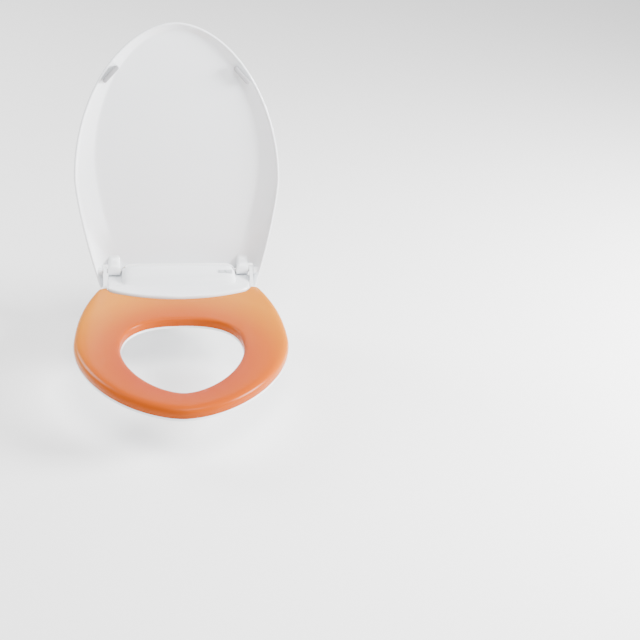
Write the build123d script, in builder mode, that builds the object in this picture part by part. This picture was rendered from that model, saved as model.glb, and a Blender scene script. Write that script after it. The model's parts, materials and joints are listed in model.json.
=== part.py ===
from build123d import *
import math
import os
from collections import namedtuple

os.makedirs("parts", exist_ok=True)

# An electric bidet seat: a hinged seat ring and lid on a slim rear housing
# that slides onto a plate bolted to the toilet bowl. Millimetres. The origin
# is on the bowl's deck, midway between the two bolts. -Y is the user's front.

# ---- Driving dimensions -------------------------------------------------
Egg = namedtuple("Egg", "half y_wide front front_power rear rear_power")

house_half = 135            # half the housing's length along the hinge
seat_egg = Egg(house_half + 55, -239, 231, 1.76, 320, 2.1)
hole_egg = Egg(108, -265, 147, 1.71, 101, 2.52)
lid_egg = Egg(seat_egg.half + 2, -180, 290, 1.89, 525, 1.37)
egg_steps = 6               # spline points in each quarter of an egg outline

hinge_z = 44                # common hinge axis above the deck, over the bolts
lid_open = 100              # lid angle from closed, leaning back on its stop
pin_r = 4
run_gap = 0.05              # radial clearance of a running fit

seat_bottom_z = 8
seat_top_z = 30
seat_split_z = 12
seat_wall = 2.8
seat_edge_r = 6
seat_back_y = -45           # rear end of the seat's two horns
seat_gap = 1.5              # seat ring to housing
arm_t = 6.5                 # seat hinge arm
eye_r = 8.5
bush_t = 1.5
ear_boss_l = 13

lid_wall = 2.6
lid_rim_dz = -10.5          # closed rim plane below the hinge axis
lid_depth_tip = 12
lid_depth_back = 22.5
lid_cut_y = -12             # rear edge of the closed lid over the housing
lid_ear_y = 30              # rear end of the closed lid's ears
lid_ear_gap = 1.5            # seat arm to the inner face of the ear bosses
lid_tip_y = lid_egg.y_wide - lid_egg.front

house_front_y = -89
house_side_y = -58          # where the bowed front meets the sides
house_back_y = 30
house_corner_r = 14
house_z = 1                 # underside of the tray
house_split_z = 16
shelf_z = 34.5
wall = 2.5

bay_half = 110              # raised compartment, half its length
bay_front_y = -45
bay_break_y = -28
bay_break_z = 45
crest_r = 10                # rounded crest around the hinge axis
side_gap = 1                # between the compartment, lid knuckle and seat eye

plate_half = 98
plate_t = 5.5
plate_front_y = -28
plate_back_y = 26
tongue = 4.2                # how far the plate's side tongues stand out
tongue_z = 3.3
slide_gap = 0.4

bolt_pitch = 140
bolt_r = 4
bolt_head_r = 9
bolt_head_t = 4
neck_w = 8.8
slot_w = 9.2
slot_l = 24
deck_t = 28                 # bowl deck that the bolts pass through
bolt_l = 72

nozzle_tilt = 18
nozzle_exit_y = -88
nozzle_exit_z = 1.5
wand_r = 4.5
sleeve_r = wand_r + 2.5
piston_r = wand_r + 1.1
piston_gap = 0.1
sleeve_front_y = -66
sleeve_back_y = 14
wand_tip_y = -84

inlet_x = -106
inlet_z = 20.5
thread_r = 10.48            # G 1/2 outside
inlet_neck_r = 9.8          # where the inlet passes through the rear wall
gland_x = 106
gland_bore_r = 3.6
gland_r = 7

key_x = 89
key_along = 12              # up the sloping face from its front break
key_pitch = 12
key_l = 9.4
key_w = 5.4
key_stroke = 1.0
key_proud = 1.2
key_gap = 0.4

release_y = 2
release_z = 24

# ---- Worked-out sizes ---------------------------------------------------
bolt_x = bolt_pitch / 2
eye_x0 = house_half + seat_gap
eye_x1 = eye_x0 + arm_t
lid_ear_x = eye_x1 + lid_ear_gap
pin_end = lid_ear_x + 6       # each hinge pin stops inside the lid ear
knuckle_x0 = bay_half + side_gap
knuckle_x1 = house_half
tongue_half = plate_half + tongue
channel_half = tongue_half + slide_gap
channel_front_y = plate_front_y - 4
channel_z = plate_t + slide_gap
channel_roof = 2
bolt_bay_z = plate_t + bolt_head_t + 1
bolt_bay_half = bolt_head_r + 3
tan_tilt = math.tan(math.radians(nozzle_tilt))
cos_tilt = math.cos(math.radians(nozzle_tilt))
break_to_axis = math.hypot(bay_break_y, bay_break_z - hinge_z)
slope = math.degrees(
    math.asin(crest_r / break_to_axis)
    - math.atan((bay_break_z - hinge_z) / -bay_break_y)
)


def nozzle_plane(y):
    """Plane across the nozzle axis where the axis crosses y, facing up the axis."""
    height = nozzle_exit_z + (y - nozzle_exit_y) * tan_tilt
    return Plane(origin=(0, y, height), x_dir=(1, 0, 0), z_dir=(0, cos_tilt, cos_tilt * tan_tilt))


def along_nozzle(y0, y1):
    """Length along the nozzle axis between two y places."""
    return (y1 - y0) / cos_tilt


def lid_plane(z=0.0, rise=0.0):
    """Plane of the lid: its own x, y and z are the closed lid's, measured from the
    hinge axis. rise is the plane's slope, in z per y."""
    frame = Plane(
        origin=(0, 0, hinge_z),
        x_dir=(1, 0, 0),
        z_dir=(0, math.sin(math.radians(lid_open)), math.cos(math.radians(lid_open))),
    )
    tilt = math.degrees(math.atan(rise))
    return Plane(frame.location * Location((0, 0, z), (tilt, 0, 0)))


lid_side = Plane(origin=(0, 0, hinge_z), x_dir=lid_plane().y_dir, z_dir=(1, 0, 0))
key_y = bay_break_y + key_along * math.cos(math.radians(slope))
key_z = bay_break_z + key_along * math.sin(math.radians(slope))
key_plane = Plane(
    origin=(key_x, key_y, key_z),
    x_dir=(1, 0, 0),
    z_dir=(0, -math.sin(math.radians(slope)), math.cos(math.radians(slope))),
)


# ---- Shared outlines ----------------------------------------------------
def egg_points(shape, inset):
    """Points round an egg outline, widest at y_wide, taken in by inset."""
    points = []
    for step in range(4 * egg_steps):
        turn = 2 * math.pi * step / (4 * egg_steps)
        across = math.sin(turn)
        ahead = math.cos(turn)
        semi, power = (shape.front, shape.front_power)
        if ahead < 0:
            semi, power = (shape.rear, shape.rear_power)
        x = (shape.half - inset) * math.copysign(abs(across) ** (2 / power), across)
        y = (semi - inset) * math.copysign(abs(ahead) ** (2 / power), ahead)
        points.append((x, shape.y_wide - y))
    return points


def egg_outline(shape, inset=0.0):
    with BuildSketch() as outline:
        with BuildLine():
            Spline(*egg_points(shape, inset), periodic=True)
        make_face()
    return outline.sketch


def housing_outline(grow=0.0):
    """Plan of the rear housing: bowed front, straight sides, rounded rear corners."""
    side = house_half + grow
    with BuildSketch() as outline:
        with BuildLine():
            ThreePointArc(
                (-side, house_side_y - grow),
                (0, house_front_y - grow),
                (side, house_side_y - grow),
            )
            Polyline(
                (side, house_side_y - grow),
                (side, house_back_y + grow),
                (-side, house_back_y + grow),
                (-side, house_side_y - grow),
            )
        make_face()
        fillet(outline.vertices(), house_corner_r + grow)
    return outline.sketch


def compartment_profile(inset=0.0):
    """Side view of the raised compartment, in y and z."""
    with BuildSketch() as profile:
        with BuildLine():
            Polyline(
                (bay_front_y + inset, house_split_z),
                (bay_front_y + inset, shelf_z - inset),
                (bay_break_y + 0.4 * inset, bay_break_z - inset),
                (-crest_r * math.sin(math.radians(slope)), hinge_z + crest_r * 0.6),
                (crest_r * 0.6, hinge_z + crest_r * 0.6),
                (house_back_y - inset, shelf_z - inset),
                (house_back_y - inset, house_split_z),
                close=True,
            )
        make_face()
        with BuildLine():
            Polyline(
                (bay_break_y + 0.4 * inset, bay_break_z - inset),
                (
                    -(crest_r - inset) * math.sin(math.radians(slope)),
                    hinge_z + (crest_r - inset) * math.cos(math.radians(slope)),
                ),
                (0, hinge_z - crest_r),
                close=True,
            )
        make_face()
        with Locations((0, hinge_z)):
            Circle(crest_r - inset)
    return profile.sketch


def ring_slab(z0, z1, inset):
    """Seat-ring slab between two heights, clear of the housing and cut off at the horns."""
    with BuildPart() as slab:
        with BuildSketch(Plane.XY.offset(z0)):
            add(egg_outline(seat_egg, inset))
            add(egg_outline(hole_egg, -inset), mode=Mode.SUBTRACT)
            add(housing_outline(seat_gap + inset), mode=Mode.SUBTRACT)
            with Locations((0, seat_back_y - inset)):
                Rectangle(500, 300, align=(Align.CENTER, Align.MIN), mode=Mode.SUBTRACT)
        extrude(amount=z1 - z0)
    return slab.part


def seat_body():
    """Whole seat ring with rounded top edges, before it is split into shells."""
    with BuildPart() as body:
        with BuildSketch(Plane.XY.offset(seat_bottom_z)):
            add(egg_outline(seat_egg))
            add(egg_outline(hole_egg), mode=Mode.SUBTRACT)
        extrude(amount=seat_top_z - seat_bottom_z)
        fillet(body.edges().group_by(Axis.Z)[-1], seat_edge_r)
        with BuildSketch(Plane.XY.offset(seat_bottom_z - 1)):
            add(housing_outline(seat_gap))
            with Locations((0, seat_back_y)):
                Rectangle(500, 300, align=(Align.CENTER, Align.MIN))
        extrude(amount=seat_top_z, mode=Mode.SUBTRACT)
    return body.part


def lid_form(inset):
    """Solid bounded by the lid's skin, taken in by inset; open side at the rim plane."""
    rise = (lid_depth_back - lid_depth_tip) / (lid_cut_y - lid_tip_y)
    depth_at_axis = lid_depth_back - lid_cut_y * rise
    with BuildPart() as form:
        with BuildSketch(lid_plane(lid_rim_dz - inset)):
            add(egg_outline(lid_egg, inset))
        extrude(amount=2 * lid_depth_back)
        panel = lid_plane(lid_rim_dz + depth_at_axis - inset, rise)
        split(bisect_by=panel, keep=Keep.BOTTOM)
    return form.part


def finish(part, label):
    part.label = label
    export_step(part, f"parts/{label}.step")


# ---- Lid ----------------------------------------------------------------
lid_outer = lid_form(0)
lid_inner = lid_form(lid_wall)

# hinge knuckles hung from the panel beside the compartment, and bosses in the ears
with BuildPart() as knuckles:
    with BuildSketch(lid_side.offset(knuckle_x0)):
        Circle(eye_r)
        with BuildLine():
            Polyline((-26, 11), (-26, 7), (-6, -6), (-2, 8.2), (-13, 11), close=True)
        make_face()
    extrude(amount=knuckle_x1 - knuckle_x0)
    with BuildSketch(lid_side.offset(knuckle_x0)):
        Circle(pin_r + bush_t)
    extrude(amount=knuckle_x1 - knuckle_x0, mode=Mode.SUBTRACT)
    with BuildSketch(lid_side.offset(lid_ear_x)):
        Circle(eye_r)
    extrude(amount=ear_boss_l)
    with BuildSketch(lid_side.offset(lid_ear_x)):
        Circle(pin_r + run_gap)
    extrude(amount=pin_end + 1 - lid_ear_x, mode=Mode.SUBTRACT)
    mirror(about=Plane.YZ)

with BuildPart() as lid_shell:
    add(lid_outer)
    add(lid_inner, mode=Mode.SUBTRACT)
    # open the back between the ears, and end the ears
    with BuildSketch(lid_plane(-60)):
        with Locations((0, lid_cut_y)):
            Rectangle(2 * lid_ear_x, 600, align=(Align.CENTER, Align.MIN))
        with Locations((0, lid_ear_y)):
            Rectangle(600, 600, align=(Align.CENTER, Align.MIN))
    extrude(amount=120, mode=Mode.SUBTRACT)
    add(knuckles.part)
finish(lid_shell.part, "lid_shell")

with BuildPart() as lid_hinge_bushes:
    with BuildSketch(lid_side.offset(knuckle_x0)):
        Circle(pin_r + bush_t)
        Circle(pin_r + run_gap, mode=Mode.SUBTRACT)
    extrude(amount=knuckle_x1 - knuckle_x0)
    mirror(about=Plane.YZ)
finish(lid_hinge_bushes.part, "lid_hinge_bushes")

bumper_l = 40
bumper_w = 8
bumper_x = 119
bumper_y = -376
bumper_turn = 47            # follows the rim there
bumper_proud = 3.2
with BuildPart() as lid_bumpers:
    for side in (-1, 1):
        with BuildSketch(lid_plane(lid_rim_dz)):
            with Locations(Location((side * bumper_x, bumper_y, 0), (0, 0, side * bumper_turn))):
                SlotOverall(bumper_l, bumper_w)
        extrude(amount=30)
    add(lid_inner, mode=Mode.INTERSECT)
    for side in (-1, 1):
        with BuildSketch(lid_plane(lid_rim_dz)):
            with Locations(Location((side * bumper_x, bumper_y, 0), (0, 0, side * bumper_turn))):
                SlotOverall(bumper_l, bumper_w)
        extrude(amount=-bumper_proud)
finish(lid_bumpers.part, "lid_bumpers")

# ---- Seat ring ----------------------------------------------------------
screw_egg = Egg(seat_egg.half - 30, seat_egg.y_wide, seat_egg.front - 30, 1.76, 250, 2.1)
screw_points = [egg_points(screw_egg, 0)[step] for step in (2, 4, 6, 8)]
screw_points = screw_points + [(-x, y) for x, y in screw_points]
screw_r = 1.5
screw_head_r = 3
seat_whole = seat_body()
seat_hollow = ring_slab(seat_bottom_z + wall, seat_top_z - seat_wall, seat_wall)
foil_t = 0.4
track_z = seat_top_z - seat_wall - foil_t

# hinge arm: from inside the horn up to the eye on the hinge axis
with BuildPart() as arms:
    with BuildSketch(Plane.YZ.offset(eye_x0)):
        with BuildLine():
            Polyline(
                (seat_back_y - 15, seat_bottom_z),
                (seat_back_y - 15, seat_top_z - seat_wall),
                (seat_back_y, seat_top_z - seat_wall),
                (-4, hinge_z + eye_r * 0.88),
                (3, hinge_z - eye_r * 0.94),
                (seat_back_y, seat_bottom_z),
                close=True,
            )
        make_face()
        with Locations((0, hinge_z)):
            Circle(eye_r)
    extrude(amount=arm_t)
    mirror(about=Plane.YZ)

with BuildPart() as seat_top_shell:
    add(seat_whole)
    add(seat_hollow, mode=Mode.SUBTRACT)
    split(bisect_by=Plane.XY.offset(seat_split_z), keep=Keep.TOP)
    add(arms.part, mode=Mode.SUBTRACT)
    with BuildSketch(Plane.XY.offset(seat_split_z)):
        with Locations(*screw_points):
            Circle(4)
            Circle(screw_r, mode=Mode.SUBTRACT)
    extrude(amount=seat_top_z - seat_wall - seat_split_z)
finish(seat_top_shell.part, "seat_top_shell")

foot_l = 34
foot_w = 12
foot_points = [egg_points(screw_egg, -8)[step] for step in (3, 8)]
with BuildPart() as seat_bottom_shell:
    add(seat_whole)
    add(seat_hollow, mode=Mode.SUBTRACT)
    split(bisect_by=Plane.XY.offset(seat_split_z), keep=Keep.BOTTOM)
    add(arms.part)
    with BuildSketch(Plane.XY.offset(seat_bottom_z)):
        with Locations(*screw_points):
            Circle(5)
    extrude(amount=seat_split_z - seat_bottom_z)
    with BuildSketch(Plane.XY.offset(seat_bottom_z)):
        with Locations(*screw_points):
            Circle(screw_head_r)
    extrude(amount=2, mode=Mode.SUBTRACT)
    with BuildSketch(Plane.XY.offset(seat_bottom_z)):
        with Locations(*screw_points):
            Circle(screw_r)
    extrude(amount=seat_split_z - seat_bottom_z, mode=Mode.SUBTRACT)
    with BuildSketch(Plane.YZ):
        with Locations((0, hinge_z)):
            Circle(pin_r + bush_t)
    extrude(amount=eye_x1 + 1, both=True, mode=Mode.SUBTRACT)
finish(seat_bottom_shell.part, "seat_bottom_shell")

with BuildPart() as seat_screws:
    with BuildSketch(Plane.XY.offset(seat_bottom_z + 0.3)):
        with Locations(*screw_points):
            Circle(screw_head_r)
    extrude(amount=1.7)
    with BuildSketch(Plane.XY.offset(seat_bottom_z + 2)):
        with Locations(*screw_points):
            Circle(screw_r)
    extrude(amount=12)
finish(seat_screws.part, "seat_screws")

with BuildPart() as seat_hinge_bushes:
    with BuildSketch(Plane.YZ.offset(eye_x0)):
        with Locations((0, hinge_z)):
            Circle(pin_r + bush_t)
            Circle(pin_r + run_gap, mode=Mode.SUBTRACT)
    extrude(amount=arm_t)
    mirror(about=Plane.YZ)
finish(seat_hinge_bushes.part, "seat_hinge_bushes")

with BuildPart() as seat_bumpers:
    for x, y in foot_points:
        with BuildSketch():
            with Locations((x, y)):
                RectangleRounded(foot_w, foot_l, foot_w / 2 - 0.1)
        extrude(amount=seat_bottom_z)
    mirror(about=Plane.YZ)
finish(seat_bumpers.part, "seat_bumpers")

with BuildPart() as heater_foil:
    add(ring_slab(track_z, track_z + foil_t, seat_wall + 2))
    add(arms.part, mode=Mode.SUBTRACT)
    with BuildSketch(Plane.XY.offset(track_z)):
        with Locations(*screw_points):
            Circle(5)
    extrude(amount=foil_t, mode=Mode.SUBTRACT)
finish(heater_foil.part, "heater_foil")

wire_d = 1.2
wire_back_y = -120          # the tracks stop short of the ring's rear
with BuildPart() as heater_wire:
    for inset in (10, 18):
        with BuildSketch(Plane.XY.offset(track_z - wire_d)):
            add(egg_outline(seat_egg, inset))
            add(egg_outline(seat_egg, inset + wire_d), mode=Mode.SUBTRACT)
            with Locations((0, wire_back_y)):
                Rectangle(500, 400, align=(Align.CENTER, Align.MIN), mode=Mode.SUBTRACT)
        extrude(amount=wire_d)
    # end loops join the outer and inner tracks
    outer_x, inner_x = [
        (seat_egg.half - inset)
        * (1 - ((wire_back_y - seat_egg.y_wide) / (seat_egg.rear - inset)) ** seat_egg.rear_power)
        ** (1 / seat_egg.rear_power)
        for inset in (10, 18)
    ]
    with BuildSketch(Plane.XY.offset(track_z - wire_d)):
        with Locations((inner_x - wire_d, wire_back_y)):
            Rectangle(outer_x - inner_x + wire_d, wire_d, align=(Align.MIN, Align.MIN))
    extrude(amount=wire_d)
finish(heater_wire.part, "heater_wire")

with BuildPart() as seat_thermostat:
    with BuildSketch(Plane.XY.offset(track_z - 5)):
        with Locations((-125, -262)):
            RectangleRounded(14, 22, 2)
    extrude(amount=5)
finish(seat_thermostat.part, "seat_thermostat")

with BuildPart() as seat_thermal_fuse:
    with BuildSketch(Plane(origin=(128, -272, track_z - 2.2), x_dir=(1, 0, 0), z_dir=(0, 1, 0))):
        Circle(2)
    extrude(amount=16)
finish(seat_thermal_fuse.part, "seat_thermal_fuse")

# ---- Housing ------------------------------------------------------------
post_points = [(62, -70), (123, -40), (123, 14)]
post_points = post_points + [(-x, y) for x, y in post_points]
post_r = 4.5
post_z = 8
shelf_under = shelf_z - wall


def compartment(half, inset):
    with BuildPart() as body:
        with BuildSketch(Plane.YZ.offset(-half)):
            add(compartment_profile(inset))
        extrude(amount=2 * half)
    return body.part


def housing_slab(z0, z1, grow):
    with BuildPart() as slab:
        with BuildSketch(Plane.XY.offset(z0)):
            add(housing_outline(grow))
        extrude(amount=z1 - z0)
    return slab.part


def key_rect(width, height, depth0, depth1, x=0.0):
    """Block square to the sloping key face, between two depths below it."""
    with BuildPart() as block:
        with BuildSketch(key_plane.offset(-depth1)):
            with Locations((x, 0)):
                RectangleRounded(width, height, 1.2)
        extrude(amount=depth1 - depth0)
    return block.part


def rod(plane, radius, length, bore=0.0):
    """Round rod or tube standing on a plane."""
    with BuildPart() as body:
        with BuildSketch(plane):
            Circle(radius)
            if bore > 0:
                Circle(bore, mode=Mode.SUBTRACT)
        extrude(amount=length)
    return body.part


def block(x0, x1, y0, y1, z0, z1):
    with BuildPart() as body:
        with BuildSketch(Plane.XY.offset(z0)):
            with Locations(((x0 + x1) / 2, (y0 + y1) / 2)):
                Rectangle(x1 - x0, y1 - y0)
        extrude(amount=z1 - z0)
    return body.part


def across(x, y, z):
    """Plane facing +X."""
    return Plane(origin=(x, y, z), x_dir=(0, 1, 0), z_dir=(1, 0, 0))


def rearward(x, y, z):
    """Plane facing +Y."""
    return Plane(origin=(x, y, z), x_dir=(-1, 0, 0), z_dir=(0, 1, 0))


bezel_w = 2 * key_pitch + 4
bezel_h = 9
bezel_t = 4
release_w = 12
release_h = 10
release_proud = 3.5
stem_r = 3
inlet_boss_r = 11
shell_hole_gap = 0.2

with BuildPart() as base_top_cover:
    add(housing_slab(house_split_z, shelf_z, 0))
    fillet(base_top_cover.edges().group_by(Axis.Z)[-1], 1.5)
    add(compartment(bay_half, 0))
    add(housing_slab(house_split_z, shelf_under, -wall), mode=Mode.SUBTRACT)
    add(compartment(bay_half - wall, wall), mode=Mode.SUBTRACT)
    with BuildSketch(Plane.XY.offset(post_z)):
        with Locations(*post_points):
            Circle(post_r)
    extrude(amount=shelf_under + 0.5 - post_z)
    with BuildSketch(Plane.XY.offset(post_z)):
        with Locations(*post_points):
            Circle(screw_r)
    extrude(amount=16, mode=Mode.SUBTRACT)
    # pin holes, key window, release window, inlet and gland holes
    add(rod(across(-bay_half - 1, 0, hinge_z), pin_r, 2 * bay_half + 2), mode=Mode.SUBTRACT)
    add(key_rect(bezel_w, bezel_h, -3, 6), mode=Mode.SUBTRACT)
    add(
        block(
            house_half - wall - 1,
            house_half + 1,
            release_y - release_w / 2 - shell_hole_gap,
            release_y + release_w / 2 + shell_hole_gap,
            release_z - release_h / 2 - shell_hole_gap,
            release_z + release_h / 2 + shell_hole_gap,
        ),
        mode=Mode.SUBTRACT,
    )
    add(rod(rearward(inlet_x, house_back_y - 5, inlet_z), inlet_neck_r, 10), mode=Mode.SUBTRACT)
    add(rod(rearward(gland_x, house_back_y - 5, inlet_z), gland_r, 10), mode=Mode.SUBTRACT)
finish(base_top_cover.part, "base_top_cover")

foot_r = 7
foot_spots = [(80, -62), (117, -12)]
foot_spots = foot_spots + [(-x, y) for x, y in foot_spots]
foot_t = 2
screw_sink = 2
nozzle_slot_half = wand_r + 2.5
rib_t = 4
rib_places = (-57, -24)
with BuildPart() as base_bottom_tray:
    add(housing_slab(house_z, house_split_z, 0))
    add(housing_slab(house_z + wall, house_split_z, -wall), mode=Mode.SUBTRACT)
    # roof of the plate channel, stepped up over the bolt heads
    channel_y1 = house_back_y - wall
    add(
        block(
            -channel_half - channel_roof,
            channel_half + channel_roof,
            channel_front_y - channel_roof,
            channel_y1,
            house_z + wall,
            channel_z + channel_roof,
        )
    )
    for side in (-1, 1):
        bay_x = side * bolt_x
        reach = bolt_bay_half + channel_roof
        add(
            block(
                bay_x - reach,
                bay_x + reach,
                channel_front_y - channel_roof,
                channel_y1,
                channel_z,
                bolt_bay_z + channel_roof,
            )
        )
    # ribs that cradle the nozzle sleeve
    for place in rib_places:
        rib_top = nozzle_plane(place).origin.Z
        add(block(-sleeve_r - 2, sleeve_r + 2, place - rib_t / 2, place + rib_t / 2, 3, rib_top))
    # bosses under the cover's posts
    with BuildSketch(Plane.XY.offset(house_z + wall)):
        with Locations(*post_points):
            Circle(post_r)
    extrude(amount=post_z - house_z - wall)
    # the channel itself, open at the rear
    open_y = house_back_y + 1
    plate_side = plate_half + slide_gap
    lip_z = tongue_z - slide_gap
    add(block(-plate_side, plate_side, channel_front_y, open_y, 0, channel_z), mode=Mode.SUBTRACT)
    add(
        block(-channel_half, channel_half, channel_front_y, open_y, lip_z, channel_z),
        mode=Mode.SUBTRACT,
    )
    for side in (-1, 1):
        bay_x = side * bolt_x
        add(
            block(
                bay_x - bolt_bay_half,
                bay_x + bolt_bay_half,
                channel_front_y,
                open_y,
                channel_z - 1,
                bolt_bay_z,
            ),
            mode=Mode.SUBTRACT,
        )
    add(
        block(
            -nozzle_slot_half,
            nozzle_slot_half,
            house_front_y - 1,
            sleeve_front_y + 1,
            0,
            nozzle_exit_z + wand_r + 4,
        ),
        mode=Mode.SUBTRACT,
    )
    add(
        rod(nozzle_plane(sleeve_front_y), sleeve_r, along_nozzle(sleeve_front_y, sleeve_back_y)),
        mode=Mode.SUBTRACT,
    )
    add(rod(rearward(inlet_x, house_back_y - 5, inlet_z), inlet_neck_r, 10), mode=Mode.SUBTRACT)
    add(rod(rearward(gland_x, house_back_y - 5, inlet_z), gland_r, 10), mode=Mode.SUBTRACT)
    with BuildSketch():
        with Locations(*foot_spots):
            Circle(foot_r)
    extrude(amount=foot_t, mode=Mode.SUBTRACT)
    with BuildSketch(Plane.XY.offset(house_z)):
        with Locations(*post_points):
            Circle(screw_head_r + 0.2)
    extrude(amount=screw_sink, mode=Mode.SUBTRACT)
    with BuildSketch(Plane.XY.offset(house_z)):
        with Locations(*post_points):
            Circle(screw_r)
    extrude(amount=post_z, mode=Mode.SUBTRACT)
finish(base_bottom_tray.part, "base_bottom_tray")

with BuildPart() as base_feet:
    with BuildSketch():
        with Locations(*foot_spots):
            Circle(foot_r)
    extrude(amount=foot_t)
finish(base_feet.part, "base_feet")

with BuildPart() as cover_screws:
    with BuildSketch(Plane.XY.offset(house_z + 0.2)):
        with Locations(*post_points):
            Circle(screw_head_r)
    extrude(amount=screw_sink - 0.2)
    with BuildSketch(Plane.XY.offset(house_z + screw_sink)):
        with Locations(*post_points):
            Circle(screw_r)
    extrude(amount=16)
finish(cover_screws.part, "cover_screws")

# ---- Hinge pins and dampers ---------------------------------------------
damper_r = 7
damper_x0 = 68
damper_x1 = 96
pin_start = 84
with BuildPart() as hinge_pins:
    add(rod(across(pin_start, 0, hinge_z), pin_r, pin_end - pin_start))
    mirror(about=Plane.YZ)
finish(hinge_pins.part, "hinge_pins")


def damper():
    """Rotary damper: body, mounting foot and the blind socket for the pin."""
    with BuildPart() as body:
        add(rod(across(damper_x0, 0, hinge_z), damper_r, damper_x1 - damper_x0))
        add(block(damper_x1 - 4, damper_x1, -damper_r, 4, hinge_z - 9, hinge_z - 3))
        add(rod(across(pin_start, 0, hinge_z), pin_r, 20), mode=Mode.SUBTRACT)
    return body.part


with BuildPart() as lid_damper:
    add(damper())
finish(lid_damper.part, "lid_damper")

with BuildPart() as seat_damper:
    add(mirror(damper(), about=Plane.YZ, mode=Mode.PRIVATE))
finish(seat_damper.part, "seat_damper")

# ---- Spray nozzle -------------------------------------------------------
cap_t = 3
seal_l = 4
sleeve_l = along_nozzle(sleeve_front_y, sleeve_back_y)
front_end = nozzle_plane(sleeve_front_y)
spigot_r = 2
spigot_bore = 1
spigot_x = -16
water_y = 9
water_z = nozzle_plane(water_y).origin.Z
with BuildPart() as nozzle_sleeve:
    add(rod(front_end, sleeve_r, sleeve_l))
    add(rod(across(spigot_x, water_y, water_z), spigot_r, -spigot_x - piston_r))
    add(rod(front_end, piston_r, seal_l), mode=Mode.SUBTRACT)
    add(rod(front_end, wand_r + 0.3, 20), mode=Mode.SUBTRACT)
    bore_l = sleeve_l - seal_l - 2 - cap_t
    add(rod(front_end.offset(seal_l + 2), piston_r + piston_gap, bore_l), mode=Mode.SUBTRACT)
    add(rod(across(spigot_x, water_y, water_z), spigot_bore, -spigot_x), mode=Mode.SUBTRACT)
finish(nozzle_sleeve.part, "nozzle_sleeve")

with BuildPart() as nozzle_seal:
    add(rod(front_end, piston_r, seal_l, wand_r + run_gap))
finish(nozzle_seal.part, "nozzle_seal")

tip_l = 9
piston_l = 6
wand_end = front_end.offset(sleeve_l - cap_t - 0.4 - piston_l)
tip_plane = nozzle_plane(wand_tip_y)
wand_l = along_nozzle(wand_tip_y, sleeve_front_y) + sleeve_l - cap_t - 0.4 - piston_l - tip_l
with BuildPart() as nozzle_wand:
    add(rod(tip_plane.offset(tip_l), wand_r, wand_l))
    add(rod(wand_end, piston_r, piston_l))
    add(rod(tip_plane.offset(tip_l), 1.5, wand_l + piston_l), mode=Mode.SUBTRACT)
finish(nozzle_wand.part, "nozzle_wand")

with BuildPart() as nozzle_tip:
    add(rod(tip_plane, wand_r, tip_l))
    fillet(nozzle_tip.edges().group_by(Axis.Y)[0], 2)
    add(rod(tip_plane.offset(3), 1.5, tip_l), mode=Mode.SUBTRACT)
    with BuildSketch(Plane(origin=tip_plane.offset(5).origin, x_dir=(1, 0, 0), z_dir=(0, -0.35, 1))):
        Circle(0.6)
    extrude(amount=wand_r + 1, mode=Mode.SUBTRACT)
finish(nozzle_tip.part, "nozzle_tip")

# ---- Water inlet, filter, valve and tube --------------------------------
inlet_in_y = 16
inlet_out_y = 44
inlet_bore = 7
with BuildPart() as water_inlet:
    thread_in_y = house_back_y + 0.6
    add(rod(rearward(inlet_x, thread_in_y, inlet_z), thread_r, inlet_out_y - thread_in_y))
    add(rod(rearward(inlet_x, house_back_y - wall, inlet_z), inlet_neck_r, wall + 1))
    add(rod(rearward(inlet_x, inlet_in_y, inlet_z), inlet_boss_r, house_back_y - wall - inlet_in_y))
    add(rod(rearward(inlet_x, inlet_in_y + 4, inlet_z), inlet_bore, 40), mode=Mode.SUBTRACT)
    add(rod(rearward(inlet_x, inlet_in_y - 1, inlet_z), 2.5, 10), mode=Mode.SUBTRACT)
finish(water_inlet.part, "water_inlet")

with BuildPart() as inlet_filter:
    add(rod(rearward(inlet_x, inlet_in_y + 4, inlet_z), inlet_bore - 0.2, 12, 5.4))
    add(rod(rearward(inlet_x, inlet_in_y + 14, inlet_z), 5.6, 2))
finish(inlet_filter.part, "inlet_filter")

valve_x0 = -117
valve_x1 = -93
tower_x0 = -105
tower_x1 = -97
valve_top = 29.4
with BuildPart() as solenoid_valve:
    add(block(valve_x0, valve_x1, -12, inlet_in_y - 0.2, 10, valve_top))
    add(block(tower_x0, tower_x1, water_y - 5, water_y + 5, valve_top, water_z + 3.5))
    add(rod(across(tower_x1, water_y, water_z), spigot_r, 8))
    add(rod(across(tower_x0 + 5, water_y, water_z), spigot_bore, 40), mode=Mode.SUBTRACT)
finish(solenoid_valve.part, "solenoid_valve")

with BuildPart() as solenoid_coil:
    add(rod(across(valve_x1, -2, 22.8), 9, 24))
finish(solenoid_coil.part, "solenoid_coil")

with BuildPart() as nozzle_tube:
    tube_x0 = tower_x1 + 1
    add(rod(across(tube_x0, water_y, water_z), spigot_r + 1.2, -sleeve_r - 1.5 - tube_x0, spigot_r))
finish(nozzle_tube.part, "nozzle_tube")

# ---- Electronics --------------------------------------------------------
board_x0 = 20
board_x1 = 90
board_y0 = -26
board_y1 = 14
board_z = 20
board_t = 1.6
board_holes = [(x, y) for x in (board_x0 + 5, board_x1 - 5) for y in (board_y0 + 4, board_y1 - 4)]
with BuildPart() as control_board:
    add(block(board_x0, board_x1, board_y0, board_y1, board_z, board_z + board_t))
    with BuildSketch(Plane.XY.offset(board_z)):
        with Locations(*board_holes):
            Circle(screw_r)
    extrude(amount=board_t, mode=Mode.SUBTRACT)
finish(control_board.part, "control_board")

with BuildPart() as board_standoffs:
    for x, y in board_holes:
        foot_z = channel_z + channel_roof if x < bolt_x - reach else bolt_bay_z + channel_roof
        add(rod(Plane(origin=(x, y, foot_z)), 3, board_z - foot_z))
finish(board_standoffs.part, "board_standoffs")

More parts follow.
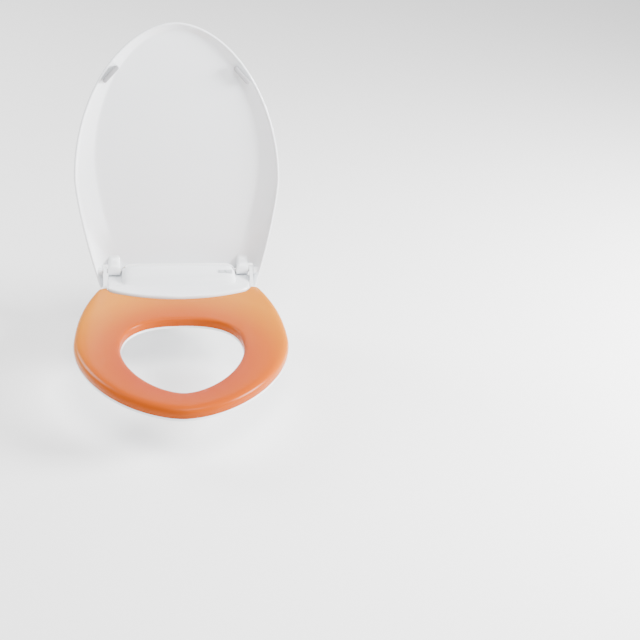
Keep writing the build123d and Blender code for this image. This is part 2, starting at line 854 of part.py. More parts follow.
with BuildPart() as board_screws:
    with BuildSketch(Plane.XY.offset(board_z + board_t)):
        with Locations(*board_holes):
            Circle(screw_head_r)
    extrude(amount=1.8)
    with BuildSketch(Plane.XY.offset(board_z)):
        with Locations(*board_holes):
            Circle(screw_r)
    extrude(amount=board_t)
finish(board_screws.part, "board_screws")

board_top = board_z + board_t
with BuildPart() as transformer:
    add(block(32, 54, -16, 4, board_top, board_top + 15))
finish(transformer.part, "transformer")

with BuildPart() as heater_relay:
    add(block(58, 70, -18, 0, board_top, board_top + 12))
finish(heater_relay.part, "heater_relay")

with BuildPart() as terminal_block:
    add(block(74, 80, -20, 4, board_top, board_top + 9))
finish(terminal_block.part, "terminal_block")

with BuildPart() as cord_gland:
    add(rod(rearward(gland_x, house_back_y - wall - 4, inlet_z), 9, 4, gland_bore_r))
    add(rod(rearward(gland_x, house_back_y - wall, inlet_z), gland_r, wall, gland_bore_r))
    add(rod(rearward(gland_x, house_back_y, inlet_z), 9, 8, gland_bore_r))
finish(cord_gland.part, "cord_gland")

# ---- Keys ---------------------------------------------------------------
key_xs = (-key_pitch / 2, key_pitch / 2)
switch_depth = 6
switch_t = 3.5
with BuildPart() as key_bezel:
    add(key_rect(bezel_w - 2 * shell_hole_gap, bezel_h - 2 * shell_hole_gap, -0.3, bezel_t))
    for x in key_xs:
        add(key_rect(key_l + 2 * key_gap, key_w + 2 * key_gap, -1, bezel_t + 1, x), mode=Mode.SUBTRACT)
    for x in (-bezel_w / 2 + 1.5, bezel_w / 2 - 1.5):
        leg = Plane(key_plane.offset(-switch_depth - switch_t).location * Location((x, 0, 0)))
        add(rod(leg, 1.2, switch_depth + switch_t - bezel_t))
    add(rod(key_plane.offset(-bezel_t), 0.7, bezel_t + 2), mode=Mode.SUBTRACT)
finish(key_bezel.part, "key_bezel")

with BuildPart() as indicator_light:
    add(rod(key_plane.offset(-bezel_t), 0.7, bezel_t + 0.4))
finish(indicator_light.part, "indicator_light")

for name, x in (("heat_button", key_xs[0]), ("wash_button", key_xs[1])):
    with BuildPart() as key:
        add(key_rect(key_l, key_w, -key_proud, switch_depth - key_stroke - 0.1, x))
        fillet(key.faces().sort_by(Axis.Z)[-1].edges(), 0.5)
    finish(key.part, name)

with BuildPart() as key_switches:
    for x in key_xs:
        add(key_rect(6, 5, switch_depth, switch_depth + switch_t, x))
finish(key_switches.part, "key_switches")

with BuildPart() as key_board:
    add(key_rect(bezel_w, bezel_h, switch_depth + switch_t, switch_depth + switch_t + 1.2))
finish(key_board.part, "key_board")

# ---- Release button -----------------------------------------------------
button_back = house_half - wall - 2
with BuildPart() as release_button:
    with BuildSketch(across(button_back, release_y, release_z)):
        RectangleRounded(release_w, release_h, 2)
    extrude(amount=house_half + release_proud - button_back)
    fillet(release_button.faces().sort_by(Axis.X)[-1].edges(), 1)
    add(rod(across(button_back - 8, release_y, release_z), stem_r, 8))
finish(release_button.part, "release_button")

# ---- Plate and bolts ----------------------------------------------------
with BuildPart() as mounting_plate:
    add(block(-plate_half, plate_half, plate_front_y, plate_back_y, 0, plate_t))
    add(block(-tongue_half, tongue_half, plate_front_y, plate_back_y, tongue_z, plate_t))
    with BuildSketch():
        with Locations((-bolt_x, 0), (bolt_x, 0)):
            SlotOverall(slot_l, slot_w, rotation=90)
    extrude(amount=plate_t, mode=Mode.SUBTRACT)
finish(mounting_plate.part, "mounting_plate")

thread_d = 0.4              # the thread's crest is this much inside the shank, on diameter
washer_t = 12
nut_t = 12
with BuildPart() as mounting_bolts:
    for x in (-bolt_x, bolt_x):
        add(rod(Plane(origin=(x, 0, plate_t)), bolt_head_r, bolt_head_t))
        add(block(x - neck_w / 2, x + neck_w / 2, -neck_w / 2, neck_w / 2, 0, plate_t))
        add(rod(Plane(origin=(x, 0, -deck_t)), bolt_r, deck_t))
        add(rod(Plane(origin=(x, 0, -bolt_l)), bolt_r - thread_d / 2, bolt_l - deck_t))
finish(mounting_bolts.part, "mounting_bolts")

with BuildPart() as rubber_washers:
    for x in (-bolt_x, bolt_x):
        with BuildSketch(Plane(origin=(x, 0, -deck_t))):
            Circle(9)
        with BuildSketch(Plane(origin=(x, 0, -deck_t - washer_t))):
            Circle(14)
        loft()
    for x in (-bolt_x, bolt_x):
        washer_foot = Plane(origin=(x, 0, -deck_t - washer_t))
        add(rod(washer_foot, bolt_r - thread_d / 2, washer_t), mode=Mode.SUBTRACT)
finish(rubber_washers.part, "rubber_washers")

with BuildPart() as wing_nuts:
    for x in (-bolt_x, bolt_x):
        nut_z = -deck_t - washer_t - nut_t
        add(rod(Plane(origin=(x, 0, nut_z)), 9, nut_t))
        add(block(x - 20, x + 20, -2, 2, nut_z, nut_z + nut_t - 3))
    for x in (-bolt_x, bolt_x):
        add(rod(Plane(origin=(x, 0, nut_z)), bolt_r - thread_d / 2, nut_t), mode=Mode.SUBTRACT)
finish(wing_nuts.part, "wing_nuts")
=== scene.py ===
import json
import math

import bmesh
import bpy
from mathutils import Matrix, Vector


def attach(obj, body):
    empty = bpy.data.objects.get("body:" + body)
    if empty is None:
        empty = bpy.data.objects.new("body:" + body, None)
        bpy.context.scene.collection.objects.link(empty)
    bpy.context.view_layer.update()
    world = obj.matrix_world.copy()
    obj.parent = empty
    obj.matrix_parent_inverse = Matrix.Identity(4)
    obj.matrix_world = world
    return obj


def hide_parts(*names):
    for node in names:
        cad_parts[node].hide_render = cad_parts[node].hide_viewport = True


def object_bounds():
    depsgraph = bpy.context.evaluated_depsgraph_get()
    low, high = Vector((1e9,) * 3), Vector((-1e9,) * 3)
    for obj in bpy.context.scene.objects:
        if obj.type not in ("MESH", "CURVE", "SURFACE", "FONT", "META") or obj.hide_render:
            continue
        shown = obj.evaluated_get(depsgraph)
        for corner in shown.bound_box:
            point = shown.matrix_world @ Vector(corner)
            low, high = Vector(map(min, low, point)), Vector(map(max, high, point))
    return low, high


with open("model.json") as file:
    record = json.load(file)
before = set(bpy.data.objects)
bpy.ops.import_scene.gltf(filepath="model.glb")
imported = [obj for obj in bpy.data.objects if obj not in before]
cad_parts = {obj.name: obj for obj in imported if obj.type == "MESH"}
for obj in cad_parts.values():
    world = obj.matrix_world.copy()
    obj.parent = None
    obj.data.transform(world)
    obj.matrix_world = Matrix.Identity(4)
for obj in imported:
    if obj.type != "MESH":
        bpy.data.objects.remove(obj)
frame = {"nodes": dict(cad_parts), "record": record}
cad_low, cad_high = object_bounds()
bpy.ops.object.select_all(action="DESELECT")

# ---- Camera, floor and studio light --------------------------------------
# The viewer stands in front of the seat and looks down on it, with the seat
# at the left of the view. The floor and the lights are plain and pale.
eye_angle = math.radians(29.02)
eye_turn = math.radians(-8.89)
eye_roll = math.radians(-3.35)
eye_distance = 2.2
eye_lens = 68.9
eye_sensor = 36
aim = Vector((0.2465, -0.230, 0.0572))

back = Vector(
    (
        math.sin(eye_turn) * math.cos(eye_angle),
        -math.cos(eye_turn) * math.cos(eye_angle),
        math.sin(eye_angle),
    )
)
ahead = -back
flat_right = ahead.cross(Vector((0, 0, 1))).normalized()
flat_down = ahead.cross(flat_right)
right = flat_right * math.cos(eye_roll) + flat_down * math.sin(eye_roll)
down = flat_down * math.cos(eye_roll) - flat_right * math.sin(eye_roll)
turned = Matrix((right, -down, back)).transposed().to_4x4()
bpy.ops.object.camera_add()
viewer = bpy.context.object
viewer.name = "viewer"
viewer.data.lens = eye_lens
viewer.data.sensor_width = eye_sensor
viewer.matrix_world = Matrix.Translation(aim + back * eye_distance) @ turned
bpy.context.scene.camera = viewer


def new_material(name):
    """Material with its Principled shader, and the node lists to build on."""
    material = bpy.data.materials.new(name)
    material.use_nodes = True
    tree = material.node_tree
    return material, tree.nodes, tree.links, tree.nodes["Principled BSDF"]


floor_gap = 0.001
floor_size = 14
bpy.ops.mesh.primitive_plane_add(size=floor_size, location=(0, 0, cad_low[2] - floor_gap))
floor = bpy.context.object
floor.name = "studio_floor"
floor_paint, _, _, floor_shader = new_material("floor_paint")
floor_shader.inputs["Base Color"].default_value = (0.93, 0.93, 0.93, 1)
floor_shader.inputs["Roughness"].default_value = 0.75
floor.data.materials.append(floor_paint)

sky = bpy.data.worlds.new("studio_air")
sky.use_nodes = True
glow = sky.node_tree.nodes["Background"]
glow.inputs["Color"].default_value = (1, 1, 1, 1)
glow.inputs["Strength"].default_value = 1.05
bpy.context.scene.world = sky
lit_spot = Vector((0, -0.15, 0.15))


def softbox(name, place, size, power):
    """Square area light that faces the middle of the seat."""
    bpy.ops.object.light_add(type="AREA", location=place)
    lamp = bpy.context.object
    lamp.name = name
    lamp.data.size = size
    lamp.data.energy = power
    facing = lit_spot - Vector(place)
    lamp.rotation_euler = facing.to_track_quat("-Z", "Y").to_euler()


softbox("key_light", (2.0, -0.45, 0.9), 0.8, 190)
softbox("rear_light", (-2.6, 1.9, 2.0), 1.6, 150)
softbox("top_light", (0.3, -0.9, 2.2), 1.2, 50)

# ---- Moulded plastic: shared finish ---------------------------------------
# Injection-moulded polypropylene and ABS. One group gives the faint ripple of
# the mould and the fine dulling of a handled surface.


def moulded_surface():
    """Group that puts out the grain's height, the roughness and the drift of tone."""
    group = bpy.data.node_groups.new("moulded_surface", "ShaderNodeTree")
    face = group.interface
    for name, value in (("Grain", 900), ("Ripple", 9), ("Gloss", 0.15)):
        socket = face.new_socket(name, in_out="INPUT", socket_type="NodeSocketFloat")
        socket.default_value = value
    for name in ("Height", "Roughness", "Tone"):
        face.new_socket(name, in_out="OUTPUT", socket_type="NodeSocketFloat")
    nodes, links = group.nodes, group.links
    given = nodes.new("NodeGroupInput")
    sent = nodes.new("NodeGroupOutput")
    place = nodes.new("ShaderNodeTexCoord")
    grain = nodes.new("ShaderNodeTexNoise")
    grain.inputs["Detail"].default_value = 3
    ripple = nodes.new("ShaderNodeTexNoise")
    ripple.inputs["Detail"].default_value = 1
    links.new(place.outputs["Object"], grain.inputs["Vector"])
    links.new(place.outputs["Object"], ripple.inputs["Vector"])
    links.new(given.outputs["Grain"], grain.inputs["Scale"])
    links.new(given.outputs["Ripple"], ripple.inputs["Scale"])
    height = nodes.new("ShaderNodeMath")
    height.operation = "MULTIPLY"
    height.inputs[1].default_value = 0.12
    links.new(grain.outputs["Fac"], height.inputs[0])
    dulling = nodes.new("ShaderNodeMath")
    dulling.operation = "MULTIPLY_ADD"
    dulling.inputs[1].default_value = 0.10
    links.new(ripple.outputs["Fac"], dulling.inputs[0])
    links.new(given.outputs["Gloss"], dulling.inputs[2])
    links.new(height.outputs[0], sent.inputs["Height"])
    links.new(dulling.outputs[0], sent.inputs["Roughness"])
    links.new(ripple.outputs["Fac"], sent.inputs["Tone"])
    return group


moulding = moulded_surface()


def moulded_plastic(name, colour, shade, gloss, coat=0.0, grain=900, bump=0.04):
    """Plastic whose colour drifts a little between colour and shade."""
    material, nodes, links, shader = new_material(name)
    skin = nodes.new("ShaderNodeGroup")
    skin.node_tree = moulding
    skin.inputs["Grain"].default_value = grain
    skin.inputs["Gloss"].default_value = gloss
    blend = nodes.new("ShaderNodeMix")
    blend.data_type = "RGBA"
    blend.inputs["A"].default_value = (*colour, 1)
    blend.inputs["B"].default_value = (*shade, 1)
    links.new(skin.outputs["Tone"], blend.inputs["Factor"])
    links.new(blend.outputs["Result"], shader.inputs["Base Color"])
    links.new(skin.outputs["Roughness"], shader.inputs["Roughness"])
    if bump > 0:
        relief = nodes.new("ShaderNodeBump")
        relief.inputs["Strength"].default_value = bump
        relief.inputs["Distance"].default_value = 0.002
        links.new(skin.outputs["Height"], relief.inputs["Height"])
        links.new(relief.outputs["Normal"], shader.inputs["Normal"])
    shader.inputs["Coat Weight"].default_value = coat
    shader.inputs["Coat Roughness"].default_value = 0.05
    return material


white_gloss = moulded_plastic(
    "white_gloss", (0.84, 0.86, 0.88), (0.80, 0.825, 0.85), 0.10, coat=0.4, bump=0
)

# ---- Lid ------------------------------------------------------------------
# A thin glossy shell, egg-shaped, with a rolled rim, a sloping band inside it
# and a flat panel. Two hinge blocks and two ears carry it on the hinge pins.
# It is shaped as if closed, about the hinge axis, then swung open.
hinge_height = 0.044
lid_swing = math.radians(100)
lid_egg = (0.192, -0.180, 0.290, 1.89, 0.525, 1.37)
panel_egg = (0.153, -0.215, 0.241, 1.90, 0.354, 1.60)
rim_height = -0.0105
lid_skin = 0.0028
lid_points = 160
panel_rise = 0.022775
panel_slope = 0.02293


def egg_point(shape, inset, share):
    """Point on an egg outline, share of a turn from its front tip.

    An egg is its half width, the y of its widest place, its reach and power in
    front of that place, and its reach and power behind it.
    """
    half, widest, front, front_power, rear, rear_power = shape
    across = math.sin(2 * math.pi * share)
    forward = math.cos(2 * math.pi * share)
    semi, power = (front, front_power) if forward >= 0 else (rear, rear_power)
    x = (half - inset) * math.copysign(abs(across) ** (2 / power), across)
    y = (semi - inset) * math.copysign(abs(forward) ** (2 / power), forward)
    return Vector((x, widest - y, 0))


def grow_rings(name, count, rings, closed=False):
    """Start from a circle and extrude it ring by ring; each ring(share) places its points."""
    bpy.ops.object.select_all(action="DESELECT")
    bpy.ops.mesh.primitive_circle_add(vertices=count, radius=1, fill_type="NOTHING")
    piece = bpy.context.object
    piece.name = name
    bpy.ops.object.mode_set(mode="EDIT")
    mesh = bmesh.from_edit_mesh(piece.data)
    mesh.verts.ensure_lookup_table()
    track = list(mesh.verts)
    for number, ring in enumerate(rings):
        if number > 0:
            bpy.ops.mesh.extrude_edges_move()
            mesh = bmesh.from_edit_mesh(piece.data)
            fresh = [v for v in mesh.verts if v.select]
            order = {tuple(round(c, 7) for c in spot): step for step, spot in enumerate(spots)}
            track = sorted(fresh, key=lambda v: order[tuple(round(c, 7) for c in v.co)])
        spots = []
        for step, vertex in enumerate(track):
            vertex.co = ring(step / count)
            spots.append(tuple(vertex.co))
        bmesh.update_edit_mesh(piece.data)
        if number == 0 and not closed:
            bpy.ops.mesh.select_all(action="SELECT")
            bpy.ops.mesh.edge_face_add()
    if not closed:
        bpy.ops.mesh.edge_face_add()
    bpy.ops.mesh.select_all(action="SELECT")
    bpy.ops.mesh.remove_doubles(threshold=0.00001)
    bpy.ops.mesh.normals_make_consistent(inside=False)
    bpy.ops.object.mode_set(mode="OBJECT")
    return piece


def panel_height(y):
    """Height of the lid's outer panel above the hinge axis when it is closed."""
    return rim_height + panel_rise + panel_slope * y


def eased(value):
    """0 below 0 and 1 above 1, with a smooth run between."""
    value = min(max(value, 0), 1)
    return value * value * (3 - 2 * value)


band_bow = 0.15
band_foot = 0.002
hinge_zone_start = -0.100
hinge_zone_length = 0.065


def band_ring(share_out, drop, inset=0.005, edge=0.0):
    """Ring on the sloping band: 0 at the panel, 1 at the rim; kept high near the hinge."""

    def ring(share):
        inner = egg_point(panel_egg, edge, share)
        outer = egg_point(lid_egg, inset, share)
        spot = inner.lerp(outer, share_out)
        top = panel_height(spot.y) - drop
        near_hinge = eased((spot.y - hinge_zone_start) / hinge_zone_length)
        sloped = (1 - band_bow) * share_out + band_bow * share_out**2
        fall = sloped + (share_out**4 - sloped) * near_hinge
        spot.z = top + (rim_height + band_foot - top) * fall
        return spot

    return ring


def rim_ring(inset, rise):
    """Ring on the rolled rim, set in from the outline and above its lowest line."""

    def ring(share):
        spot = egg_point(lid_egg, inset, share)
        spot.z = rim_height + rise
        return spot

    return ring


rim_profile = [(0.0046, 0.0010), (0.0038, 0.0002), (0.0028, 0.0), (0.0014, 0.0001)]
rim_profile += [(0.0005, 0.0007), (0.0001, 0.0018), (0.0003, 0.0035), (0.0012, 0.0055)]
lid_rings = [band_ring(0, lid_skin, edge=0.012), band_ring(0, lid_skin, edge=0.004)]
lid_rings += [band_ring(part, lid_skin) for part in (0.02, 0.08, 0.3, 0.5, 0.7, 0.86, 0.96)]
lid_rings += [rim_ring(inset, rise) for inset, rise in rim_profile]
lid_rings += [band_ring(part, 0, inset=0.0005) for part in (0.88, 0.72, 0.5, 0.3, 0.12, 0.03)]
lid_rings += [band_ring(0, 0, edge=0.004), band_ring(0, 0, edge=0.014)]
lid = grow_rings("lid", lid_points, lid_rings)


def rounded_block(name, low, high, radius, steps=5):
    """Cube primitive stretched between two corners, with its upright edges rounded."""
    bpy.ops.object.select_all(action="DESELECT")
    bpy.ops.mesh.primitive_cube_add(size=1)
    piece = bpy.context.object
    piece.name = name
    low, high = Vector(low), Vector(high)
    bpy.ops.object.mode_set(mode="EDIT")
    bpy.ops.transform.resize(value=tuple(high - low), center_override=(0, 0, 0))
    bpy.ops.transform.translate(value=tuple((low + high) / 2))
    mesh = bmesh.from_edit_mesh(piece.data)
    for edge in mesh.edges:
        a, b = (v.co for v in edge.verts)
        edge.select = abs(a.x - b.x) < 1e-6 and abs(a.y - b.y) < 1e-6
    bmesh.update_edit_mesh(piece.data)
    bpy.ops.mesh.select_mode(type="EDGE")
    if radius > 0:
        bpy.ops.mesh.bevel(offset=radius, segments=steps, affect="EDGES")
    bpy.ops.object.mode_set(mode="OBJECT")
    return piece


def pick(piece):
    """Make a piece the only selected one, and the active one."""
    bpy.ops.object.select_all(action="DESELECT")
    piece.select_set(True)
    bpy.context.view_layer.objects.active = piece


def combine(piece, other, operation):
    """Boolean of a piece with another mesh, which is then thrown away."""
    tool = piece.modifiers.new("combine", "BOOLEAN")
    tool.operation = operation
    tool.solver = "EXACT"
    tool.object = other
    pick(piece)
    bpy.ops.object.modifier_apply(modifier=tool.name)
    bpy.data.objects.remove(other)


def carve(piece, cutter):
    """Cut one piece with another."""
    combine(piece, cutter, "DIFFERENCE")


def smooth(piece, degrees=35):
    """Shade smooth, and keep edges sharper than the angle."""
    pick(piece)
    bpy.ops.object.shade_smooth_by_angle(angle=math.radians(degrees))


notch_half, notch_edge, notch_corner = 0.1113, -0.0112, 0.022
shoulder_half, shoulder_edge = 0.1353, 0.0066
eye_inner, eye_outer = 0.1350, 0.1442
lid_rear = 0.030
cut_end, cut_rise = 0.5, 0.05


def cut_behind(name, low_x, high_x, edge, corner=0, steps=5):
    """Cut the lid away behind an edge, between two sides."""
    low, high = (low_x, edge, -cut_rise), (high_x, cut_end, cut_rise)
    carve(lid, rounded_block(name, low, high, corner, steps))


cut_behind("notch", -notch_half, notch_half, notch_edge, notch_corner, 10)
cut_behind("shoulder_cut", -shoulder_half, shoulder_half, shoulder_edge)
cut_behind("eye_clearance", -eye_outer, -eye_inner, notch_edge)
cut_behind("eye_clearance", eye_inner, eye_outer, notch_edge)
cut_behind("rear_cut", -0.4, 0.4, lid_rear)

knuckle_profile = [(-0.0310, 0.0092), (-0.0270, 0.0084), (-0.0235, 0.0066), (-0.0205, 0.0042)]
knuckle_profile += [(-0.0175, 0.0012), (-0.0145, -0.0020), (-0.0115, -0.0050), (-0.0075, -0.0075)]
knuckle_profile += [(-0.0020, -0.0084), (0.0024, -0.0081), (0.0059, -0.0060), (0.0080, -0.0028)]
knuckle_profile += [(0.0085, 0.0010), (0.0078, 0.0050), (0.0066, 0.0085), (0.0060, 0.0112)]
knuckle_profile += [(-0.0310, 0.0106)]
block_skin_height = 0.0094
block_skin_slope = 0.0229
block_skin_start = -0.05
block_fade_start = -0.006
block_fade_length = 0.014


def hinge_block(name, side):
    """Block that carries the lid on its pin and fades into the panel above it."""
    inner, outer, fade, stations = 0.1117, 0.1346, 0.007, 14

    def slice_at(x):
        into_edge = min(x - inner, outer - x) / fade
        full = math.sqrt(1 - (1 - min(into_edge, 1)) ** 2)

        def ring(share):
            y, z = knuckle_profile[round(share * len(knuckle_profile))]
            away = eased((block_fade_start - y) / block_fade_length)
            skin = block_skin_height + block_skin_slope * (y - block_skin_start)
            lowered = max(skin - z, 0) * (1 - full)
            return Vector((side * x, y, z + lowered * away))

        return ring

    reach = [(1 - math.cos(math.pi * step / stations)) / 2 for step in range(stations + 1)]
    slices = [slice_at(inner + (outer - inner) * part) for part in reach]
    return grow_rings(name, len(knuckle_profile), slices)


ear_radius, ear_length, ear_inner = 0.0085, 0.0105, 0.1446
lid_parts = [lid, hinge_block("hinge_left", -1), hinge_block("hinge_right", 1)]
for side in (-1, 1):
    bpy.ops.object.select_all(action="DESELECT")
    bpy.ops.mesh.primitive_cylinder_add(vertices=40, radius=ear_radius, depth=ear_length)
    ear = bpy.context.object
    bpy.ops.object.mode_set(mode="EDIT")
    bpy.ops.transform.rotate(value=math.pi / 2, orient_axis="Y", center_override=(0, 0, 0))
    bpy.ops.transform.translate(value=(side * (ear_inner + ear_length / 2), 0, 0))
    bpy.ops.object.mode_set(mode="OBJECT")
    lid_parts.append(ear)
pick(lid)
for part in lid_parts:
    part.select_set(True)
bpy.ops.object.join()


def swing_open(piece):
    """Turn a closed-lid mesh about the hinge axis to its open rest place."""
    turn = Matrix.Rotation(-lid_swing, 4, "X")
    piece.data.transform(Matrix.Translation((0, 0, hinge_height)) @ turn)
    piece.data.update()


swing_open(lid)
smooth(lid)
lid.data.materials.append(white_gloss)
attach(lid, "lid")
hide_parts("lid_shell")

# ---- Seat ring ------------------------------------------------------------
# The heated ring's upper shell: glossy plastic, dished towards the hole, with
# rounded edges. Its rear is cut to the housing's bowed front.
seat_egg = (0.190, -0.239, 0.231, 1.76, 0.320, 2.1)
hole_egg = (0.108, -0.265, 0.147, 1.71, 0.101, 2.52)
seat_points = 160
seat_low = 0.012


def seat_ring(share_in, height, outer_inset=0.0, hole_inset=0.0):
    """Ring between the outer edge (0) and the hole (1)."""

    def ring(share):
        outer = egg_point(seat_egg, outer_inset, share)
        inner = egg_point(hole_egg, hole_inset, share)
        spot = outer.lerp(inner, share_in)
        spot.z = height
        return spot

    return ring


outer_edge = [(seat_low, 0.0008), (0.0165, 0.0), (0.0205, 0.0002), (0.0238, 0.0010)]
outer_edge += [(0.0264, 0.0028), (0.0283, 0.0056), (0.0294, 0.0095), (0.0299, 0.0145)]
dish_outer, dish_inner = 0.0145, -0.010
dish = [(0.2, 0.0299), (0.4, 0.0297), (0.6, 0.0294), (0.8, 0.0290), (1.0, 0.0285)]
hole_edge = [(0.0281, -0.0064), (0.0274, -0.0034), (0.0262, -0.0016), (0.0244, -0.0006)]
hole_edge += [(0.0222, -0.0001), (0.0180, 0.0), (seat_low, -0.0006)]
seat_rings = [seat_ring(0, height, inset) for height, inset in outer_edge]
seat_rings += [seat_ring(part, height, dish_outer, dish_inner) for part, height in dish]
seat_rings += [seat_ring(1, height, 0, inset) for height, inset in hole_edge]
seat_rings += [seat_ring(0.5, seat_low), seat_ring(0, seat_low, 0.0008)]
seat = grow_rings("seat_ring", seat_points, seat_rings, closed=True)

house_half = 0.135
house_front = -0.089
house_side_front = -0.058
house_back = 0.030
seat_gap = 0.0015
plan_corner = 0.014
horn_end_y = -0.045
below_seat, above_seat = -0.01, 0.06
bow = house_side_front - house_front
bow_radius = (house_half**2 + bow**2) / (2 * bow)


def bowed_front(x, grow=0.0):
    """Front edge of the housing at x."""
    return house_front + bow_radius - math.sqrt((bow_radius + grow) ** 2 - x * x)


def housing_prism(name, grow, low, high):
    """Plan of the housing, front bowed, raised between two heights."""
    side = house_half + grow
    outline = [(-side, 0.2), (side, 0.2)]
    steps = 48
    for step in range(steps + 1):
        x = side - 2 * side * step / steps
        y = bowed_front(x, grow)
        edge = side - abs(x)
        if edge < plan_corner:
            y += 0.8 * (plan_corner - math.sqrt(plan_corner**2 - (plan_corner - edge) ** 2))
        outline.append((x, y))

    def level(height):
        def ring(share):
            x, y = outline[round(share * len(outline))]
            return Vector((x, y, height))

        return ring

    return grow_rings(name, len(outline), [level(low), level(high)])


carve(seat, housing_prism("housing_clearance", seat_gap, below_seat, above_seat))
horn_end = rounded_block("horn_end", (-0.3, horn_end_y, below_seat), (0.3, 0.3, above_seat), 0)
carve(seat, horn_end)
smooth(seat, 40)


def seat_plastic_with_painted_light():
    """One orange plastic whose base colour is painted darker and redder round the hole as painted
    shade, and lighter and golden towards the rear corners as painted light.
    """
    material, nodes, links, shader = new_material("warm_orange")
    place = nodes.new("ShaderNodeTexCoord")
    # Painted shade and painted light in the base colour: darkest near the front of the hole,
    # lightest and most golden at the rear corners.
    painted_shade_centre = nodes.new("ShaderNodeMapping")
    painted_shade_centre.inputs["Location"].default_value = (0, 1.22, 0)
    painted_shade_centre.inputs["Scale"].default_value = (4.6, 3.9, 0)
    spread = nodes.new("ShaderNodeVectorMath")
    spread.operation = "LENGTH"
    ramp = nodes.new("ShaderNodeValToRGB")
    ramp.color_ramp.elements[0].position = 0.42
    ramp.color_ramp.elements[0].color = (0.33, 0.038, 0.0002, 1)
    ramp.color_ramp.elements[1].position = 1.0
    ramp.color_ramp.elements[1].color = (0.52, 0.165, 0.0002, 1)
    middle = ramp.color_ramp.elements.new(0.70)
    middle.color = (0.40, 0.074, 0.0002, 1)
    links.new(place.outputs["Object"], painted_shade_centre.inputs["Vector"])
    links.new(painted_shade_centre.outputs["Vector"], spread.inputs[0])
    links.new(spread.outputs["Value"], ramp.inputs["Fac"])
    links.new(ramp.outputs["Color"], shader.inputs["Base Color"])
    shader.inputs["Specular IOR Level"].default_value = 0.12
    shader.inputs["Roughness"].default_value = 0.27
    return material


warm_orange = seat_plastic_with_painted_light()
seat.data.materials.append(warm_orange)
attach(seat, "seat")
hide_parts("seat_top_shell")

# ---- Housing cover --------------------------------------------------------
# A slim glossy cover: a low shelf with a bowed front, and a raised compartment
# across the middle that rounds over the hinge line.
shelf_top = 0.0345
split_height = 0.016
cover_points = 240
plan_power = 2 / 9
plan_middle = -0.02


def housing_point(share, inset):
    """Point on the housing's plan, share of a turn, corners rounded."""
    side = house_half - inset
    angle = 2 * math.pi * share
    across, forward = math.sin(angle), math.cos(angle)
    x = side * math.copysign(abs(across) ** plan_power, across)
    depth = math.copysign(abs(forward) ** plan_power, forward)
    if depth > 0:
        reach = plan_middle - bowed_front(x, -inset)
    else:
        reach = house_back - inset - plan_middle
    return Vector((x, plan_middle - depth * reach, 0))


def cover_ring(inset, height):
    """Level ring of the cover, set in from the housing's plan."""

    def ring(share):
        spot = housing_point(share, inset)
        spot.z = height
        return spot

    return ring


cover_edge = [(0.0026, split_height), (0.0004, split_height), (0, split_height + 0.0006)]
cover_edge += [(0, 0.0300), (0.0004, 0.0320), (0.0013, 0.0335), (0.0030, 0.0343)]
cover_edge += [(0.0055, shelf_top), (0.0300, shelf_top)]
cover_rings = [cover_ring(inset, height) for inset, height in cover_edge]
cover = grow_rings("housing_cover", cover_points, cover_rings)

bay_half = 0.110
bay_stations = 72
bay_foot = 0.030
bay_profile = [(-0.0455, 0.0335), (-0.0440, 0.0346), (-0.0415, 0.0358), (-0.0380, 0.0378)]
bay_profile += [(-0.0340, 0.0405), (-0.0300, 0.0435), (-0.0265, 0.0455), (-0.0220, 0.0472)]
bay_profile += [(-0.0160, 0.0492), (-0.0100, 0.0513), (-0.0060, 0.0526), (-0.0025, 0.0535)]
bay_profile += [(0.0005, 0.0539), (0.0035, 0.0533), (0.0062, 0.0518), (0.0100, 0.0490)]
bay_profile += [(0.0160, 0.0440), (0.0230, 0.0385), (0.0280, 0.0345), (0.0284, bay_foot)]
bay_profile += [(-0.0300, bay_foot)]


def bay_slice(step):
    """One slice of the compartment: lower and shallower towards its rounded ends."""
    angle = math.pi * (step + 0.5) / bay_stations
    x = -bay_half * math.cos(angle)
    near_end = abs(x) / (bay_half + 0.0002)
    lift = (1 - near_end**18) ** 0.42 * (1 - 0.03 * near_end**2)
    pull = 0.75 + 0.25 * (1 - near_end**16) ** 0.5

    def ring(share):
        y, z = bay_profile[round(share * len(bay_profile))]
        return Vector((x, y * pull if y < 0 else y, bay_foot + (z - bay_foot) * lift))

    return ring


bay = grow_rings("compartment", len(bay_profile), [bay_slice(step) for step in range(bay_stations)])
combine(cover, bay, "UNION")

key_slope = math.radians(18.86)
key_centre = Vector((0.089, -0.01664, 0.04888))
key_turn = Matrix.Translation(key_centre) @ Matrix.Rotation(key_slope, 4, "X")
pocket_x, pocket_y, pocket_corner = 0.0139, 0.0044, 0.0014
pocket = rounded_block(
    "key_pocket", (-pocket_x, -pocket_y, -0.004), (pocket_x, pocket_y, 0.01), pocket_corner
)
pocket.data.transform(key_turn)
carve(cover, pocket)
release_low, release_high = (0.131, -0.0042, 0.0188), (0.139, 0.0082, 0.0292)
carve(cover, rounded_block("release_pocket", release_low, release_high, 0))
smooth(cover, 40)
cover.data.materials.append(white_gloss)
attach(cover, "base")
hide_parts("base_top_cover")

